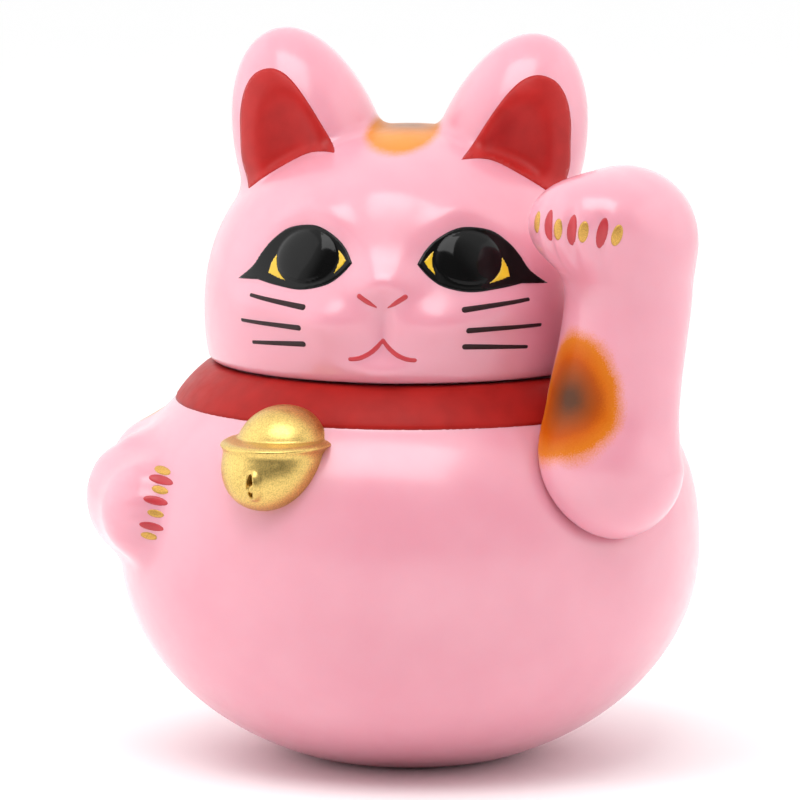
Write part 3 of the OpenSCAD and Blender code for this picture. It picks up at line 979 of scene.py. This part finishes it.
# Toe marks, gold and red by turns: (u, v) of each along the toes, the gold and red marks' sizes,
# and the tilt of the first and the last
LOWERED_MARKS = [
    (-26.5, 33.4), (-26.65, 32.5), (-26.75, 31.5), (-27.2, 30.4),
    (-27.2, 29.05), (-27.65, 27.65), (-27.95, 26.55),
]
LOWERED_GOLD, LOWERED_RED, LOWERED_TILTS = (1.85, 0.83), (2.7, 0.9), (-9, -9)
RAISED_MARKS = [
    (-3.1, 61.3), (-1.75, 61.1), (-0.7, 60.8), (0.5, 60.8), (1.5, 60.7), (2.95, 60.6), (4.1, 60.4),
]
RAISED_GOLD, RAISED_RED, RAISED_TILTS = (0.85, 2.3), (0.85, 3.3), (0, -10)


def build_toe_marks(paw, body, field, place, marks, sizes, tilts, paints):
    """A row of oval marks; sizes and paints give the gold ones' first, then the red ones'."""
    for number, (u, v) in enumerate(marks):
        kind = number % 2
        tilt = np.interp(number, (0, len(marks) - 1), tilts)
        loop = oval(u, v, *sizes[kind], tilt)
        name = f"{paw}_paw_mark_{number + 1}"
        mark = lay_on(
            name, loop, field, place, paints[kind], film(PAINT), rim=0.12, spacing=0.15
        )
        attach(mark, body)


COLLAR_THICK, COLLAR_THIN, COLLAR_SINK = 0.12, 0.02, 0.3
COLLAR_STEPS, COLLAR_TURN_IN = 240, (0.1, 0.7, 1.4)


def ring_faces(turns, wide):
    """Quads of a closed ring whose section has this many points."""
    faces = []
    for i in range(turns):
        this, following = i * wide, ((i + 1) % turns) * wide
        for j in range(wide):
            k = (j + 1) % wide
            faces.append((this + j, following + j, following + k, this + k))
    return faces


def build_collar(red):
    """The painted collar, a closed band that follows the body's top slope and turns in over the
    edge under the head."""
    levels = np.linspace(COLLAR_Z, NECK_Z - 0.15, 12)
    radii = COLLAR_R * np.sqrt(1 - ((levels - COLLAR_MID_Z) / COLLAR_HIGH) ** 2)
    profile = np.array([*zip(radii, levels), *((NECK_R - i, NECK_Z) for i in COLLAR_TURN_IN)])
    rows = len(profile)
    a = np.linspace(0, 2 * np.pi, COLLAR_STEPS, endpoint=False)[:, None]
    r, z = profile[:, 0], profile[:, 1]
    base = np.stack([r * np.sin(a), -r * np.cos(a), z + 0 * a], -1).reshape(-1, 3)
    skin = settle(body_form, base)
    normal = unit_normal(body_form, skin)
    rise = np.full((COLLAR_STEPS, rows), COLLAR_THICK)
    rise[:, [0, -1]] = COLLAR_THIN
    outer = (skin + normal * rise.reshape(-1, 1)).reshape(COLLAR_STEPS, rows, 3)
    inner = (skin - normal * COLLAR_SINK).reshape(COLLAR_STEPS, rows, 3)[:, ::-1]
    points = np.concatenate([outer, inner], 1).reshape(-1, 3)
    collar = make_mesh("collar_paint", points, ring_faces(COLLAR_STEPS, 2 * rows), red)
    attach(collar, "body")


def finish_hidden_nodes():
    """The CAD nodes that stay as they are get their own materials."""
    white = moulded_plastic("white_plastic", WHITE, 0.5)
    steel = turned_steel("turned_steel")
    plastic = ("base_cap", "neck_bush", "shoulder_bush", "neck_plug", "arm_plug")
    for name, material in [*((name, white) for name in plastic), ("ballast_weight", steel)]:
        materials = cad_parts[name].data.materials
        materials.clear()
        materials.append(material)


# ---------------------------------------------------------------- studio

CAMERA_AZIMUTH, CAMERA_RISE, CAMERA_FAR = 33.0, 8.0, 600.0
FRAME_WIDTH, AIM_LEFT, AIM_Z = 87.7, 1.1, 38.9
SENSOR = 36.0
FLOOR_HALF = 4.0
LIGHTS_AIM_Z = 40.0
# Soft boxes: name, degrees round from the camera, degrees up, distance, size and power
SOFT_BOXES = [
    ("key", -95, 24, 420, (480, 480), 0.4),
    ("fill", 85, 22, 450, (400, 400), 0.25),
    ("top", -14, 60, 420, (330, 210), 0.9),
]
# The white tent's opening: its direction, its edge, and how bright the white and the dark are
TENT_OPENS_AT, TENT_OPENS_UP = 33.0, 0.15
TENT_EDGE, TENT_WHITE, TENT_DARK = (0.42, 0.85), 1.2, 0.12


def heading(azimuth, rise):
    """The unit direction at an azimuth from the front and a rise above level, in degrees."""
    e = radians(rise)
    return around(azimuth, cos(e), sin(e))


def make_floor():
    """A plain white floor."""
    n = Nodes("studio_white")
    n.set(Base_Color=(0.97, 0.97, 0.97, 1), Roughness=0.9)
    mesh = bpy.data.meshes.new("floor")
    s = FLOOR_HALF
    mesh.from_pydata([(-s, -s, 0), (s, -s, 0), (s, s, 0), (-s, s, 0)], [], [(0, 1, 2, 3)])
    mesh.materials.append(n.material)
    link(bpy.data.objects.new("floor", mesh))


def make_world():
    """A white tent round the figurine, open and dark in front of it as the photographer's side is.
    What the camera sees directly is plain white from every side."""
    world = bpy.data.worlds.new("studio")
    bpy.context.scene.world = world
    world.use_nodes = True
    tree = world.node_tree
    background = tree.nodes["Background"]
    background.inputs["Color"].default_value = (1, 1, 1, 1)
    towards = tree.nodes.new("ShaderNodeTexCoord").outputs["Generated"]
    facing = tree.nodes.new("ShaderNodeVectorMath")
    facing.operation = "DOT_PRODUCT"
    facing.inputs[1].default_value = (*around(TENT_OPENS_AT, 1, 0)[:2], TENT_OPENS_UP)
    tree.links.new(towards, facing.inputs[0])
    tent = tree.nodes.new("ShaderNodeMapRange")
    tent.interpolation_type = "SMOOTHSTEP"
    spread = zip(("From Min", "From Max", "To Min", "To Max"), (*TENT_EDGE, TENT_WHITE, TENT_DARK))
    for socket, value in spread:
        tent.inputs[socket].default_value = value
    tree.links.new(facing.outputs["Value"], tent.inputs["Value"])
    seen = tree.nodes.new("ShaderNodeMapRange")
    seen.inputs["To Max"].default_value = 1.0
    camera_ray = tree.nodes.new("ShaderNodeLightPath").outputs["Is Camera Ray"]
    tree.links.new(camera_ray, seen.inputs["Value"])
    tree.links.new(tent.outputs["Result"], seen.inputs["To Min"])
    tree.links.new(seen.outputs["Result"], background.inputs["Strength"])


def soft_box(name, azimuth, rise, far, size, power):
    """An area light placed round the figurine like a studio soft box."""
    light = bpy.data.lights.new(name, "AREA")
    light.shape = "RECTANGLE"
    light.size, light.size_y = size[0] * MM, size[1] * MM
    light.energy = power
    obj = link(bpy.data.objects.new(name, light))
    aim = Vector((0, 0, LIGHTS_AIM_Z * MM))
    obj.location = Vector(heading(azimuth, rise) * far * MM) + aim
    obj.rotation_euler = (aim - obj.location).to_track_quat("-Z", "Y").to_euler()


def make_camera():
    out = heading(CAMERA_AZIMUTH, CAMERA_RISE)
    aim = np.array([0, 0, AIM_Z]) - around(CAMERA_AZIMUTH + 90, AIM_LEFT, 0)
    data = bpy.data.cameras.new("camera")
    data.sensor_width = SENSOR
    data.lens = SENSOR * CAMERA_FAR / FRAME_WIDTH
    data.clip_start, data.clip_end = 0.01, 20
    obj = link(bpy.data.objects.new("camera", data))
    obj.location = Vector(aim + out * CAMERA_FAR) * MM
    obj.rotation_euler = Vector(-out).to_track_quat("-Z", "Y").to_euler()
    bpy.context.scene.camera = obj


# ---------------------------------------------------------------- putting it together

make_camera()
make_floor()
make_world()
bpy.context.scene.view_settings.view_transform = "Standard"
for name, turn, *rest in SOFT_BOXES:
    soft_box(name, CAMERA_AZIMUTH + turn, *rest)
build_body()
build_head()
build_arm()
build_bell()
red_gloss = gloss_paint("red_gloss", RED, 0.36, specular=0.2)
mark_red = gloss_paint("mark_red", MARK_RED, 0.34)
# The collar gets the red paint darkened as painted shade, not a paint of its own
build_collar(gloss_paint("collar_red_painted_shade", SHADED_COLLAR_RED, 0.4, specular=0.12))
black_gloss = gloss_paint("black_gloss", BLACK, 0.09, specular=0.2)
yellow_gloss = gloss_paint("yellow_gloss", YELLOW, 0.2, coat=0.1)
build_eyes(black_gloss, yellow_gloss)
whisker_dark = gloss_paint("whisker_dark", DARK, 0.4, specular=0.2)
for word, side in SIDES.items():
    build_nose_and_whiskers(word, side, mark_red, whisker_dark)
    build_ear_lining(word, side, red_gloss)
mouth = mouth_outline(np.array(MOUTH), MOUTH_WIDTH)
paint_on_face("mouth_stroke", mouth, mark_red)
mark_gold = gold_paint("mark_gold", MARK_GOLD, 0.1, 0.5)
build_toe_marks(
    "lowered", "body", body_field, on_lowered_toes,
    LOWERED_MARKS, (LOWERED_GOLD, LOWERED_RED), LOWERED_TILTS, (mark_gold, mark_red),
)
build_toe_marks(
    "raised", "arm", arm_field, on_toes,
    RAISED_MARKS, (RAISED_GOLD, RAISED_RED), RAISED_TILTS, (mark_gold, mark_red),
)
finish_hidden_nodes()
